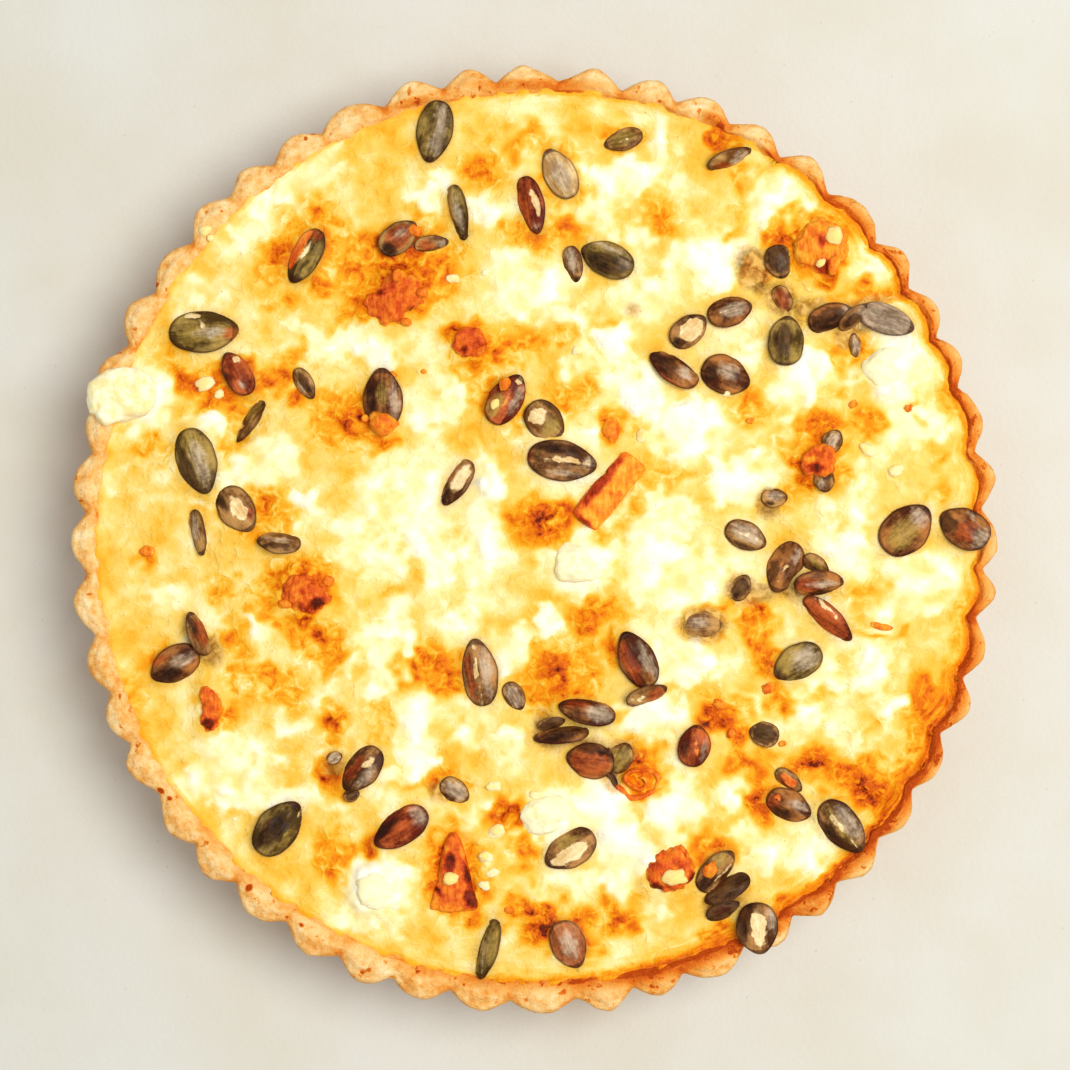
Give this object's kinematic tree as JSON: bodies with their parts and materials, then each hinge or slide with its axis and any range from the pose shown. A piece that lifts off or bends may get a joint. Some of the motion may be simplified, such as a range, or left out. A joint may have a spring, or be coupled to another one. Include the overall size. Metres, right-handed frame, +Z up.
{
  "type": "quiche",
  "caption": "Whole round quiche: fluted pastry case filled level with baked custard, set with squash, crumbled cheese and pumpkin seeds.",
  "frame": {"origin": "middle of the flat underside, on the surface the quiche rests on", "axes": "+Z up through the filling; +X and +Y across the quiche, which is slightly longer along Y"},
  "size_m": [0.2264, 0.2316, 0.0343],
  "materials": {
    "crust": "baked shortcrust pastry, dry and finely crumbly, browner along the rim's edges",
    "custard": "set egg custard, moist, with browned and saffron patches",
    "squash": "roasted orange squash, browned at its edges",
    "cheese": "soft white crumbled cheese, lightly baked",
    "seed_green": "roasted pumpkin seed, olive green with a fine waxy sheen",
    "seed_brown": "roasted pumpkin seed, dark brown",
    "seed_red": "roasted pumpkin seed, red-brown",
    "seed_striped": "roasted pumpkin seed whose skin has split over the cream kernel",
    "seed_pale": "pumpkin seed under a film of custard, pale grey-brown"
  },
  "bodies": {
    "root": {"cheese_1": "cheese", "cheese_2": "cheese", "cheese_3": "cheese", "cheese_4": "cheese", "cheese_5": "cheese", "crust": "crust", "custard": "custard", "seed_brown_01": "seed_brown", "seed_brown_02": "seed_brown", "seed_brown_03": "seed_brown", "seed_brown_04": "seed_brown", "seed_brown_05": "seed_brown", "seed_brown_06": "seed_brown", "seed_brown_07": "seed_brown", "seed_brown_08": "seed_brown", "seed_brown_09": "seed_brown", "seed_brown_10": "seed_brown", "seed_brown_11": "seed_brown", "seed_brown_12": "seed_brown", "seed_brown_13": "seed_brown", "seed_brown_14": "seed_brown", "seed_brown_15": "seed_brown", "seed_brown_16": "seed_brown", "seed_green_01": "seed_green", "seed_green_02": "seed_green", "seed_green_03": "seed_green", "seed_green_04": "seed_green", "seed_green_05": "seed_green", "seed_green_06": "seed_green", "seed_green_07": "seed_green", "seed_green_08": "seed_green", "seed_green_09": "seed_green", "seed_green_10": "seed_green", "seed_pale_01": "seed_pale", "seed_pale_02": "seed_pale", "seed_red_01": "seed_red", "seed_red_02": "seed_red", "seed_red_03": "seed_red", "seed_red_04": "seed_red", "seed_red_05": "seed_red", "seed_red_06": "seed_red", "seed_striped_01": "seed_striped", "seed_striped_02": "seed_striped", "seed_striped_03": "seed_striped", "seed_striped_04": "seed_striped", "seed_striped_05": "seed_striped", "seed_striped_06": "seed_striped", "seed_striped_07": "seed_striped", "seed_striped_08": "seed_striped", "seed_striped_09": "seed_striped", "squash_1": "squash", "squash_2": "squash", "squash_3": "squash", "squash_4": "squash", "squash_5": "squash", "squash_6": "squash", "squash_7": "squash", "squash_cube": "squash", "squash_wedge": "squash"}
  },
  "joints": []
}
